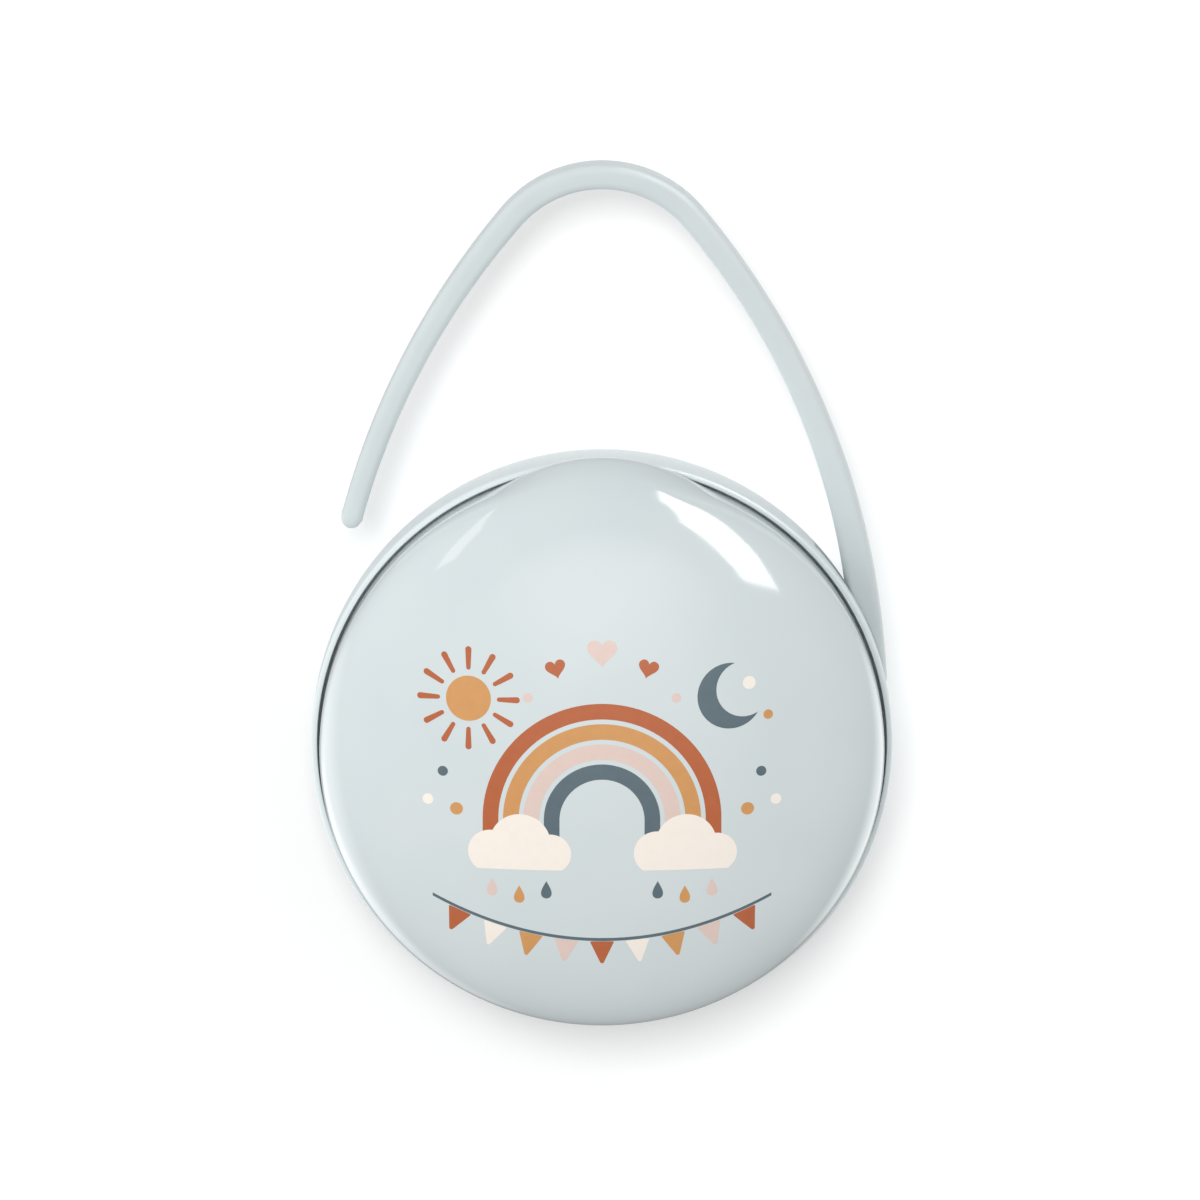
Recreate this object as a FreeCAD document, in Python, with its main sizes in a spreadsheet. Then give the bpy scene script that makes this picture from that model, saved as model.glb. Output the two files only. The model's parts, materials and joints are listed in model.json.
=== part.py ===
# A round soother case that opens like a shell, with a hooked carrying strap.
# Millimetres. The case lies on its back: the origin is the middle of the back's flat,
# +Z points out through the lid and +Y points up the strap.
import FreeCAD, Part
import math
import os
from types import SimpleNamespace
import Sketcher

driving = {
    # lid: a straight wall that carries a half-ellipsoid dome, and a lip for the thumb
    "lidRadius": 41.9,
    "lidWall": 1.6,
    "lidWallHeight": 4.0,
    "domeHeight": 16.5,
    "lipOverhang": 2.0,
    "lipRadius": 25.0,
    "lipHeight": 15.5,
    "lipGap": 0.3,
    # ring: the band round the middle, crowned on the outside
    "rimStrip": 0.85,
    "ringWall": 2.6,
    "crownSet": 4.0,
    "crownDrop": 1.3,
    "rimRound": 0.35,
    # seat: the lid's edge sits in a rebate, round a spigot
    "lidGap": 0.45,
    "seatDepth": 2.2,
    "seatGap": 0.15,
    "shelfThickness": 1.6,
    "spigotGap": 0.25,
    "spigotWall": 1.3,
    "spigotHeight": 3.8,
    "spigotRound": 0.4,
    # catch: a bead on the spigot that snaps into a groove in the lid
    "catchHeight": 2.6,
    "beadRadius": 0.4,
    "beadGap": 0.05,
    "beadSweep": 16.0,
    "beadEndSweep": 1.0,
    # hinge: one knuckle on the lid between two on the ring
    "hingeInset": 0.6,
    "hingeDrop": 1.2,
    "knuckleRadius": 1.3,
    "knuckleGap": 0.25,
    "pinRadius": 0.65,
    "pinGap": 0.05,
    "lidKnuckleWidth": 6.8,
    "ringKnuckleWidth": 4.4,
    "knuckleEndGap": 0.2,
    "troughSide": 8.0,
    "troughShave": 0.55,
    "footSink": 0.3,
    # back cover: a bowl with a tongue inside the ring
    "coverDepth": 12.5,
    "coverWall": 1.6,
    "tongueGap": 0.05,
    "tongueWall": 1.2,
    "tongueHeight": 2.0,
    "tongueEndGap": 0.4,
    "seamBevel": 0.2,
    # strap: an arch of tangent arcs that tapers from its eye to its free tip
    "strapInset": 0.6,
    "strapSpring": 3.0,
    "strapRise": 43.5,
    "strapApexRadius": 19.3,
    "strapApexThickness": 3.65,
    "strapTipThickness": 3.0,
    "strapTip": 33.4,
    "strapDepth": 6.0,
    "strapEdgeShare": 0.4,
    "eyeRadius": 2.7,
    "eyeHeight": 9.0,
    # pocket in the ring's side for the strap's eye, and its pin
    "pocketSideGap": 0.35,
    "pocketFaceGap": 0.2,
    "pocketMouth": 29.1,
    "mouthRunShare": 1.12,
    "pocketRoof": 1.4,
    "housingWall": 1.4,
    "housingFloor": 1.6,
    "strapPinRadius": 0.9,
    "strapPinGap": 0.06,
    "strapPinBite": 0.9,
    # every cut runs this far past the face it leaves
    "overrun": 2.0,
}

doc = FreeCAD.newDocument("sootherCase")
sheet = doc.addObject("Spreadsheet::Sheet", "sizes")
for row, (alias, value) in enumerate(driving.items(), start=1):
    sheet.set("A%d" % row, alias)
    sheet.set("B%d" % row, str(value))
    sheet.setAlias("B%d" % row, alias)
doc.recompute()


class Size:
    # a number together with the sheet formula that gives it

    def __init__(self, formula, value):
        self.formula = formula
        self.value = value

    def __add__(self, other):
        return joined(self, "+", other, self.value + number(other))

    def __sub__(self, other):
        return joined(self, "-", other, self.value - number(other))

    def __mul__(self, other):
        return joined(self, "*", other, self.value * number(other))

    def __truediv__(self, other):
        return joined(self, "/", other, self.value / number(other))

    def __neg__(self):
        return Size("(-1 * %s)" % self.formula, -self.value)


def number(term):
    return term.value if isinstance(term, Size) else float(term)


def formula(term):
    return term.formula if isinstance(term, Size) else str(term)


def joined(left, sign, right, value):
    return Size("(%s %s %s)" % (formula(left), sign, formula(right)), value)


def root(square):
    return Size("sqrt(%s)" % square.formula, math.sqrt(square.value))


def leg(hypotenuse, side):
    # the other short side of a right triangle
    return root(hypotenuse * hypotenuse - side * side)


s = SimpleNamespace(**{alias: Size("sizes." + alias, value) for alias, value in driving.items()})
zero = Size("0", 0.0)

# radii that several pieces share, from the lid's edge
lidInner = s.lidRadius - s.lidWall
seatRadius = s.lidRadius + s.lidGap
ringRadius = seatRadius + s.rimStrip
ringInner = ringRadius - s.ringWall
spigotRadius = lidInner - s.spigotGap
spigotInner = spigotRadius - s.spigotWall
seamRadius = ringRadius - s.crownDrop

# levels, from the back up: the band is as wide as what it holds
pocketDepth = s.strapDepth + s.pocketFaceGap * 2
seamZ = s.coverDepth
housingBottomZ = seamZ + s.tongueHeight + s.tongueEndGap
pocketFloorZ = housingBottomZ + s.housingFloor
strapZ = pocketFloorZ + pocketDepth / 2
pocketTopZ = pocketFloorZ + pocketDepth
seatZ = pocketTopZ + s.pocketRoof
rimZ = seatZ + s.seatDepth
shelfZ = seatZ - s.shelfThickness
lidBottomZ = seatZ + s.seatGap
domeZ = rimZ + s.lidWallHeight
catchZ = seatZ + s.catchHeight
strapPinTopZ = pocketTopZ + s.strapPinBite

# the crown's arc stands upright at its widest
crownRise = rimZ - s.crownSet - seamZ
crownRadius = (crownRise * crownRise + s.crownDrop * s.crownDrop) / (s.crownDrop * 2)

# the hinge's axis and the half length of its pin
hingeY = s.hingeInset - s.lidRadius
hingeZ = rimZ - s.hingeDrop
ringKnuckleStart = s.lidKnuckleWidth / 2 + s.knuckleEndGap
hingeHalf = ringKnuckleStart + s.ringKnuckleWidth

# the strap's side arcs touch the apex arc and stand upright at the spring
strapSpread = ringRadius - s.strapInset
strapTop = ringRadius + s.strapRise
apexY = strapTop - s.strapApexRadius
apexRise = apexY - s.strapSpring


def sideArc(spread, rise, apexRadius):
    # radius of an arc that starts upright at the spread and touches an apex circle that far above it
    return (spread * spread + rise * rise - apexRadius * apexRadius) / ((spread - apexRadius) * 2)


strapSideRadius = sideArc(strapSpread, apexRise, s.strapApexRadius)
sideOffset = strapSideRadius - strapSpread
eyeX = leg(strapSideRadius - s.eyeRadius, s.eyeHeight - s.strapSpring) - sideOffset


def newBody(label):
    body = doc.addObject("PartDesign::Body", label)
    body.Label = label
    return body


def bind(thing, **sizes):
    for field, size in sizes.items():
        thing.setExpression(field, size.formula)


def primitive(body, kind, name, at, turn=None, **sizes):
    # a primitive of the body, turned first and then moved to its place
    thing = body.newObject("PartDesign::" + kind, name)
    if turn is not None:
        thing.Placement = FreeCAD.Placement(FreeCAD.Vector(), turn)
    bind(thing, **sizes)
    for letter, size in zip("xyz", at):
        thing.setExpression("Placement.Base." + letter, size.formula)
    return thing


alongX = FreeCAD.Rotation(FreeCAD.Vector(0, 1, 0), 90)


def rod(body, kind, name, start, length, radius, y, z):
    # a round bar or bore along X from its start
    return primitive(body, kind + "Cylinder", name, (start, y, z), alongX, Radius=radius, Height=length)


def arcBead(body, kind, name, ringSize, radius, sweep, z):
    # part of a torus about the case's axis, centred over +Y
    start = Size("90", 90.0) - sweep / 2
    turn = FreeCAD.Rotation(FreeCAD.Vector(0, 0, 1), start.value)
    thing = primitive(body, kind + "Torus", name, (zero, zero, z), turn,
                      Radius1=ringSize, Radius2=radius, Angle3=sweep)
    thing.setExpression("Placement.Rotation.Angle", start.formula)


def newSketch(body, name, plane, height=zero):
    sketch = body.newObject("Sketcher::SketchObject", name)
    support = [feature for feature in body.Origin.OriginFeatures if feature.Role == plane]
    sketch.AttachmentSupport = [(support[0], "")]
    sketch.MapMode = "FlatFace"
    sketch.setExpression("AttachmentOffset.Base.z", height.formula)
    return sketch


def drive(sketch, constraint, size):
    index = sketch.addConstraint(constraint)
    sketch.setExpression("Constraints[%d]" % index, size.formula)


def placePoint(sketch, curve, point, x, y):
    if x is zero:
        sketch.addConstraint(Sketcher.Constraint("PointOnObject", curve, point, -2))
    else:
        drive(sketch, Sketcher.Constraint("DistanceX", -1, 1, curve, point, x.value), x)
    if y is zero:
        sketch.addConstraint(Sketcher.Constraint("PointOnObject", curve, point, -1))
    else:
        drive(sketch, Sketcher.Constraint("DistanceY", -1, 1, curve, point, y.value), y)


def arcThrough(start, end, radius):
    # the short arc that runs anticlockwise from start to end
    middle = (start + end) * 0.5
    across = end - start
    rise = math.sqrt(radius ** 2 - (across.Length / 2) ** 2)
    centre = middle + FreeCAD.Vector(-across.y, across.x, 0).normalize() * rise
    first = math.atan2(start.y - centre.y, start.x - centre.x)
    last = math.atan2(end.y - centre.y, end.x - centre.x)
    return Part.ArcOfCircle(Part.Circle(centre, FreeCAD.Vector(0, 0, 1), radius), first, last)


def drawOutline(sketch, corners, arcs=None):
    # a closed outline: arcs maps a corner to the radius of the arc that leaves it and to its sense
    arcs = arcs or {}
    points = [FreeCAD.Vector(x.value, y.value, 0) for x, y in corners]
    ends = []
    for place, start in enumerate(points):
        end = points[(place + 1) % len(points)]
        if place not in arcs:
            curve = sketch.addGeometry(Part.LineSegment(start, end))
            ends.append((curve, 1, 2))
            continue
        radius, sense = arcs[place]
        if sense == "anticlockwise":
            curve = sketch.addGeometry(arcThrough(start, end, radius.value))
            ends.append((curve, 1, 2))
        else:
            curve = sketch.addGeometry(arcThrough(end, start, radius.value))
            ends.append((curve, 2, 1))
    for place, (curve, _, last) in enumerate(ends):
        following, followingFirst, _ = ends[(place + 1) % len(ends)]
        sketch.addConstraint(Sketcher.Constraint("Coincident", curve, last, following, followingFirst))
    for (curve, first, _), (x, y) in zip(ends, corners):
        placePoint(sketch, curve, first, x, y)
    for place, (radius, _) in arcs.items():
        drive(sketch, Sketcher.Constraint("Radius", ends[place][0], radius.value), radius)


def revolve(body, name, corners, arcs):
    sketch = newSketch(body, name + "Profile", "XZ_Plane")
    drawOutline(sketch, corners, arcs)
    turned = body.newObject("PartDesign::Revolution", name)
    turned.Profile = sketch
    turned.ReferenceAxis = (sketch, ["V_Axis"])
    turned.Angle = 360


def extrude(body, kind, name, sketch, length, side="One side"):
    # a pad grows up from its sketch and a pocket cuts down from it
    made = body.newObject("PartDesign::" + kind, name)
    made.Profile = sketch
    made.SideType = side
    bind(made, Length=length)
    return made


def makeFrontLid():
    body = newBody("front_lid")
    axis = (zero, zero)
    lipY = s.lidRadius + s.lipOverhang - s.lipRadius
    primitive(body, "AdditiveCylinder", "lidSkirt", (*axis, lidBottomZ),
              Radius=s.lidRadius, Height=domeZ - lidBottomZ)
    dome = primitive(body, "AdditiveEllipsoid", "lidDome", (*axis, domeZ),
                     Radius1=s.domeHeight, Radius2=s.lidRadius, Radius3=s.lidRadius)
    lip = primitive(body, "AdditiveEllipsoid", "thumbLip", (zero, lipY, rimZ + s.lipGap),
                    Radius1=s.lipHeight, Radius2=s.lipRadius, Radius3=s.lipRadius)
    primitive(body, "SubtractiveCylinder", "lidMouth", (*axis, lidBottomZ - s.overrun),
              Radius=lidInner, Height=domeZ - lidBottomZ + s.overrun)
    hollow = primitive(body, "SubtractiveEllipsoid", "lidHollow", (*axis, domeZ),
                       Radius1=s.domeHeight - s.lidWall, Radius2=lidInner, Radius3=lidInner)
    for half in (dome, lip, hollow):
        half.Angle1 = 0
    arcBead(body, "Subtractive", "catchGroove", lidInner, s.beadRadius + s.beadGap,
            s.beadSweep + s.beadEndSweep * 2, catchZ)
    # the wall is cut away round the ring's knuckles and below the hinge's axis
    slot = hingeHalf + s.knuckleEndGap
    through = s.lidRadius - leg(lidInner, slot) + s.overrun * 2
    primitive(body, "SubtractiveBox", "hingeSlot", (-slot, -(s.lidRadius + s.overrun), lidBottomZ - s.overrun),
              Length=slot * 2, Width=through, Height=hingeZ - lidBottomZ + s.overrun)
    clearRadius = s.knuckleRadius + s.knuckleGap
    clearWidth = slot - s.lidKnuckleWidth / 2
    rod(body, "Subtractive", "rightClearance", s.lidKnuckleWidth / 2, clearWidth, clearRadius, hingeY, hingeZ)
    rod(body, "Subtractive", "leftClearance", -slot, clearWidth, clearRadius, hingeY, hingeZ)
    rod(body, "Additive", "lidKnuckle", -s.lidKnuckleWidth / 2, s.lidKnuckleWidth, s.knuckleRadius,
        hingeY, hingeZ)
    rod(body, "Subtractive", "lidPinBore", -hingeHalf, hingeHalf * 2, s.pinRadius + s.pinGap, hingeY, hingeZ)
    return body


def makeRing():
    body = newBody("rim_ring")
    corners = [
        (ringInner, seamZ),
        (seamRadius - s.seamBevel, seamZ),
        (seamRadius, seamZ + s.seamBevel),
        (ringRadius, rimZ - s.crownSet),
        (ringRadius, rimZ - s.rimRound),
        (ringRadius - s.rimRound, rimZ),
        (seatRadius, rimZ),
        (seatRadius, seatZ),
        (spigotRadius, seatZ),
        (spigotRadius, seatZ + s.spigotHeight - s.spigotRound),
        (spigotRadius - s.spigotRound, seatZ + s.spigotHeight),
        (spigotInner, seatZ + s.spigotHeight),
        (spigotInner, shelfZ),
        (ringInner, shelfZ),
    ]
    rounds = {
        2: (crownRadius, "anticlockwise"),
        4: (s.rimRound, "anticlockwise"),
        9: (s.spigotRound, "anticlockwise"),
    }
    revolve(body, "band", corners, rounds)
    makeHinge(body)
    arcBead(body, "Additive", "catchBead", spigotRadius, s.beadRadius, s.beadSweep, catchZ)
    makePocket(body)
    return body


def makeHinge(body):
    # a trough across the rim lets the lid's wall swing: its ends point at the case's axis
    spigotTopZ = seatZ + s.spigotHeight
    troughZ = hingeZ - s.knuckleRadius - s.knuckleGap
    troughInner = spigotRadius - s.troughShave
    troughHalf = hingeHalf + s.troughSide
    inside = -leg(troughInner, troughHalf)
    troughOuter = ringRadius + s.overrun
    outward = troughOuter / troughInner
    sketch = newSketch(body, "troughOutline", "XY_Plane", spigotTopZ + s.overrun)
    corners = [
        (-troughHalf * outward, inside * outward),
        (troughHalf * outward, inside * outward),
        (troughHalf, inside),
        (-troughHalf, inside),
    ]
    drawOutline(sketch, corners, {0: (troughOuter, "anticlockwise"), 2: (troughInner, "clockwise")})
    extrude(body, "Pocket", "trough", sketch, spigotTopZ + s.overrun - troughZ)
    # two knuckles stand in the trough
    footY = hingeY - s.knuckleRadius / 2
    for side, start in (("right", ringKnuckleStart), ("left", -hingeHalf)):
        primitive(body, "AdditiveBox", side + "Foot", (start, footY, troughZ - s.footSink),
                  Length=s.ringKnuckleWidth, Width=s.knuckleRadius, Height=hingeZ - troughZ + s.footSink)
        rod(body, "Additive", side + "Knuckle", start, s.ringKnuckleWidth, s.knuckleRadius, hingeY, hingeZ)
    rod(body, "Subtractive", "ringPinBore", -(hingeHalf + s.overrun), (hingeHalf + s.overrun) * 2, s.pinRadius,
        hingeY, hingeZ)


def makePocket(body):
    # a housing inside the wall, then the slot that opens it to the outside
    wallMiddle = ringRadius - s.ringWall / 2
    slotLeft = eyeX - s.eyeRadius - s.pocketSideGap
    slotLow = s.eyeHeight - s.eyeRadius - s.pocketSideGap
    housingLeft = slotLeft - s.housingWall
    housingLow = slotLow - s.housingWall
    sketch = newSketch(body, "housingOutline", "XY_Plane", housingBottomZ)
    mouthX = leg(wallMiddle, s.pocketMouth)
    corners = [
        (leg(wallMiddle, housingLow), housingLow),
        (mouthX, s.pocketMouth),
        (housingLeft, s.eyeHeight),
        (housingLeft, housingLow),
    ]
    drawOutline(sketch, corners, {0: (wallMiddle, "anticlockwise")})
    extrude(body, "Pad", "housing", sketch, seatZ - housingBottomZ)
    # the slot's inner side lies along the housing and runs on past the band
    sketch = newSketch(body, "slotOutline", "XY_Plane", pocketTopZ)
    outside = ringRadius + s.overrun
    slotEndX = slotLeft + (mouthX - housingLeft) * s.mouthRunShare
    slotEndY = s.eyeHeight + (s.pocketMouth - s.eyeHeight) * s.mouthRunShare
    corners = [
        (slotLeft, slotLow),
        (outside, slotLow),
        (outside, slotEndY),
        (slotEndX, slotEndY),
        (slotLeft, s.eyeHeight),
    ]
    drawOutline(sketch, corners)
    extrude(body, "Pocket", "slot", sketch, pocketTopZ - pocketFloorZ)
    primitive(body, "SubtractiveCylinder", "strapPinBore", (eyeX, s.eyeHeight, housingBottomZ - s.overrun),
              Radius=s.strapPinRadius, Height=strapPinTopZ - housingBottomZ + s.overrun)


def makeBackCover():
    # the bowl carries on from the band's crown and rounds into the flat
    body = newBody("back_cover")
    crownCentre = crownRadius - s.crownDrop
    slant = seamZ * crownRadius / crownCentre
    bowlRadius = slant * (crownRadius + crownRise) / crownCentre
    flatRadius = seamRadius - seamZ * crownRise / crownCentre - slant
    tongueRadius = ringInner - s.tongueGap
    tongueInner = tongueRadius - s.tongueWall
    tongueZ = seamZ + s.tongueHeight
    innerRadius = bowlRadius - s.coverWall
    innerEndZ = bowlRadius - leg(innerRadius, tongueInner - flatRadius)
    bevelEnd = leg(bowlRadius, bowlRadius - (seamZ - s.seamBevel)) + flatRadius
    corners = [
        (zero, zero),
        (flatRadius, zero),
        (bevelEnd, seamZ - s.seamBevel),
        (seamRadius - s.seamBevel, seamZ),
        (tongueRadius, seamZ),
        (tongueRadius, tongueZ),
        (tongueInner, tongueZ),
        (tongueInner, innerEndZ),
        (flatRadius, s.coverWall),
        (zero, s.coverWall),
    ]
    revolve(body, "bowl", corners, {1: (bowlRadius, "anticlockwise"), 7: (innerRadius, "clockwise")})
    return body


def makeHingePin():
    body = newBody("hinge_pin")
    rod(body, "Additive", "hingePinRod", -hingeHalf, hingeHalf * 2, s.pinRadius, hingeY, hingeZ)
    return body


def makeStrapPin():
    body = newBody("strap_pin")
    primitive(body, "AdditiveCylinder", "strapPinRod", (eyeX, s.eyeHeight, housingBottomZ),
              Radius=s.strapPinRadius, Height=strapPinTopZ - housingBottomZ)
    return body


def isFlat(edge):
    return edge.BoundBox.ZLength < s.strapDepth.value / 2


def makeStrap():
    body = newBody("strap")
    sketch = newSketch(body, "strapOutline", "XY_Plane", strapZ)
    drawStrap(sketch)
    pad = extrude(body, "Pad", "strapPad", sketch, s.strapDepth, "Symmetric")
    doc.recompute()
    edges = ["Edge%d" % place for place, edge in enumerate(pad.Shape.Edges, start=1) if isFlat(edge)]
    rounded = body.newObject("PartDesign::Fillet", "strapRounding")
    rounded.Base = (pad, edges)
    bind(rounded, Radius=s.strapTipThickness * s.strapEdgeShare)
    primitive(body, "SubtractiveCylinder", "eyeBore", (eyeX, s.eyeHeight, strapZ - s.strapDepth),
              Radius=s.strapPinRadius + s.strapPinGap, Height=s.strapDepth * 2)
    return body


def drawStrap(sketch):
    # eight tangent arcs: over the outside from the eye to the tip, and back along the inside
    innerApex = s.strapApexRadius - s.strapApexThickness
    tipSide = strapSpread - s.strapTipThickness
    innerLeft = sideArc(tipSide, apexRise, innerApex)
    eyeSide = eyeX - s.eyeRadius
    innerRight = sideArc(eyeSide, apexY - s.eyeHeight, innerApex)
    tipRadius = s.strapTipThickness / 2
    tipX = sideOffset + tipRadius - leg(strapSideRadius, s.strapTip - s.strapSpring)

    centres = {
        "outerRight": (-sideOffset, s.strapSpring, strapSideRadius),
        "outerApex": (zero, apexY, s.strapApexRadius),
        "outerLeft": (sideOffset, s.strapSpring, strapSideRadius),
        "tip": (tipX, s.strapTip, tipRadius),
        "innerLeft": (innerLeft - tipSide, s.strapSpring, innerLeft),
        "innerApex": (zero, apexY, innerApex),
        "innerRight": (eyeSide - innerRight, s.eyeHeight, innerRight),
        "eye": (eyeX, s.eyeHeight, s.eyeRadius),
    }

    def bearing(start, end):
        # the direction from one centre to another
        return math.atan2(centres[end][1].value - centres[start][1].value,
                          centres[end][0].value - centres[start][0].value)

    half = math.pi
    eyeOut = bearing("outerRight", "eye")
    apexRight = bearing("outerRight", "outerApex")
    apexLeft = bearing("outerLeft", "outerApex")
    tipOut = bearing("outerLeft", "tip")
    tipIn = bearing("innerLeft", "tip")
    innerApexLeft = bearing("innerLeft", "innerApex")
    innerApexRight = bearing("innerRight", "innerApex")
    spans = {
        "outerRight": (eyeOut, apexRight),
        "outerApex": (apexRight, apexLeft),
        "outerLeft": (apexLeft, tipOut),
        "tip": (tipOut, tipIn + half),
        "innerLeft": (innerApexLeft, tipIn),
        "innerApex": (innerApexRight, innerApexLeft),
        "innerRight": (0, innerApexRight),
        "eye": (half, 2 * half + eyeOut),
    }
    curve = {}
    for name, (x, y, radius) in centres.items():
        circle = Part.Circle(FreeCAD.Vector(x.value, y.value, 0), FreeCAD.Vector(0, 0, 1), radius.value)
        curve[name] = sketch.addGeometry(Part.ArcOfCircle(circle, *spans[name]))
    start, end, centre = 1, 2, 3
    joins = [
        ("outerRight", end, "outerApex", start),
        ("outerApex", end, "outerLeft", start),
        ("outerLeft", end, "tip", start),
        ("tip", end, "innerLeft", end),
        ("innerLeft", start, "innerApex", end),
        ("innerApex", start, "innerRight", end),
        ("innerRight", start, "eye", start),
        ("eye", end, "outerRight", start),
    ]
    for first, firstEnd, second, secondEnd in joins:
        sketch.addConstraint(Sketcher.Constraint("Tangent", curve[first], firstEnd, curve[second], secondEnd))
    for name in ("outerRight", "outerLeft"):
        placePoint(sketch, curve[name], centre, centres[name][0], centres[name][1])
    for name in ("outerRight", "outerLeft", "outerApex", "innerApex", "innerLeft", "eye"):
        drive(sketch, Sketcher.Constraint("Radius", curve[name], centres[name][2].value), centres[name][2])
    for name in ("tip", "innerLeft", "innerRight", "eye"):
        height = centres[name][1]
        drive(sketch, Sketcher.Constraint("DistanceY", -1, 1, curve[name], centre, height.value), height)
    apexes = (curve["outerApex"], centre, curve["innerApex"], centre)
    sketch.addConstraint(Sketcher.Constraint("Coincident", *apexes))


pieces = [makeFrontLid(), makeRing(), makeBackCover(), makeHingePin(), makeStrap(), makeStrapPin()]
doc.recompute()

faults = [item.Name for item in doc.Objects if "Invalid" in item.State or "Error" in item.State]
if faults:
    raise RuntimeError("failed: " + ", ".join(faults))
os.makedirs("parts", exist_ok=True)
for piece in pieces:
    if piece.Shape.isNull() or not piece.Shape.isValid() or len(piece.Shape.Solids) != 1:
        raise RuntimeError("not one sound solid: " + piece.Label)
    piece.Shape.exportStep("parts/%s.step" % piece.Label)
    box = piece.Shape.BoundBox
    print("%s %.1f mm3, x %.2f to %.2f, y %.2f to %.2f, z %.2f to %.2f" % (
        piece.Label, piece.Shape.Volume, box.XMin, box.XMax, box.YMin, box.YMax, box.ZMin, box.ZMax))
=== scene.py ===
# A round soother case with a hooked carrying strap: its looks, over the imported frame.
# The frame is in metres and the dictionaries below are in millimetres.
import json
import math

import bmesh
import bpy
import numpy as np
from mathutils import Matrix, Vector

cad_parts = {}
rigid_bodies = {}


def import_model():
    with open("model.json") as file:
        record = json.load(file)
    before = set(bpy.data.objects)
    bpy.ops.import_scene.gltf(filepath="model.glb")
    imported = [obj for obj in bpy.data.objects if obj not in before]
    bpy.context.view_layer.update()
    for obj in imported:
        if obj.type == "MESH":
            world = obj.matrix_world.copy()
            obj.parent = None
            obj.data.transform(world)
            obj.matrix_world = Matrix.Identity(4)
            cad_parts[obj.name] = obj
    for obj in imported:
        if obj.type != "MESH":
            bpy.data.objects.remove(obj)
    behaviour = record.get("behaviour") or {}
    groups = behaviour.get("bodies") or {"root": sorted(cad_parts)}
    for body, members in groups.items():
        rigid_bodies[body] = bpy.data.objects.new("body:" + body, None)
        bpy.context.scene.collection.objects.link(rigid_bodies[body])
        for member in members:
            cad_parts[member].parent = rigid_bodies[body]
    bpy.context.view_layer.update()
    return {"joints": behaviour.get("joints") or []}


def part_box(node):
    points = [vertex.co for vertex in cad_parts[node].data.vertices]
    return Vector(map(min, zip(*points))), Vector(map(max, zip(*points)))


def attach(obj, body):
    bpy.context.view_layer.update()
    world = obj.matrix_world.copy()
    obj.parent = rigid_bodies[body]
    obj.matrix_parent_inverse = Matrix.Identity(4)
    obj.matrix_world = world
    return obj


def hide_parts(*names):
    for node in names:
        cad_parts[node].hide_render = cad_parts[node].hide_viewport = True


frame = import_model()
scene = bpy.context.scene
mm = 0.001
merge = 1e-7  # metres; points nearer than this are one point
over = 2.0    # how far a cutting shape runs past what it cuts


def nodeBox(node):
    return [np.array(corner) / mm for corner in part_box(node)]


def jointPlace(name):
    found = [joint for joint in frame["joints"] if joint["name"] == name]
    return np.array(found[0]["pos_m"]) / mm


# what several pieces share, and what of it the frame gives
case = {
    "spigotRise": 3.8,      # above the lid's seat
    "rimRise": 1.2,         # above the hinge's axis
    "wallRise": 4.0,        # of the lid's straight wall above the rim
    "lidWall": 1.6,
    "spigotGap": 0.25,
    "ringWall": 2.6,
    "pinRadius": 0.65,
    "strapPinRadius": 0.9,
}
lidLow, lidHigh = nodeBox("front_lid")
ringLow, ringHigh = nodeBox("rim_ring")
coverLow, coverHigh = nodeBox("back_cover")
strapLow, strapHigh = nodeBox("strap")
hingeAt = jointPlace("lid_hinge")
pivotAt = jointPlace("strap_pivot")
lidRadius = lidHigh[0]
lidTop = lidHigh[2]
ringRadius = ringHigh[0]
seamZ = ringLow[2]
seatZ = ringHigh[2] - case["spigotRise"]
rimZ = hingeAt[2] + case["rimRise"]
domeZ = rimZ + case["wallRise"]
lidInner = lidRadius - case["lidWall"]
spigotRadius = lidInner - case["spigotGap"]
ringInner = ringRadius - case["ringWall"]
pinRadius = case["pinRadius"]
strapPinRadius = case["strapPinRadius"]
print("frame read: ring %.1f mm across, lid top at %.1f mm" % (2 * ringRadius, lidTop))


# shared mesh work

def newPiece(name, points, faces, edges=()):
    mesh = bpy.data.meshes.new(name)
    mesh.from_pydata((np.asarray(points, float) * mm).tolist(), list(edges), faces)
    piece = bpy.data.objects.new(name, mesh)
    scene.collection.objects.link(piece)
    return piece


def closeUp(piece):
    # merges poles and seams, then turns every face outwards
    shape = bmesh.new()
    shape.from_mesh(piece.data)
    bmesh.ops.remove_doubles(shape, verts=shape.verts, dist=merge)
    bmesh.ops.dissolve_degenerate(shape, edges=shape.edges, dist=merge)
    bmesh.ops.recalc_face_normals(shape, faces=shape.faces)
    shape.to_mesh(piece.data)
    shape.free()
    return piece


def settle(piece):
    # makes what the modifiers give the piece's own plain mesh
    graph = bpy.context.evaluated_depsgraph_get()
    made = bpy.data.meshes.new_from_object(piece.evaluated_get(graph))
    piece.modifiers.clear()
    old = piece.data
    piece.data = made
    made.name = piece.name
    bpy.data.meshes.remove(old)
    return piece


def drop(piece):
    mesh = piece.data
    bpy.data.objects.remove(piece)
    bpy.data.meshes.remove(mesh)


def carve(piece, operation, *tools):
    for tool in tools:
        boolean = piece.modifiers.new(tool.name, "BOOLEAN")
        boolean.operation = operation
        boolean.solver = "MANIFOLD"
        boolean.object = tool
    settle(piece)
    for tool in tools:
        drop(tool)
    return piece


def shade(piece, sharpAngle):
    piece.data.shade_smooth()
    piece.data.set_sharp_from_angle(angle=math.radians(sharpAngle))


def gridFaces(rows, columns):
    # quads of a grid whose columns close on themselves
    faces = []
    for row in range(rows - 1):
        for column in range(columns):
            following = (column + 1) % columns
            faces.append((row * columns + column, row * columns + following,
                          (row + 1) * columns + following, (row + 1) * columns + column))
    return faces


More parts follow.
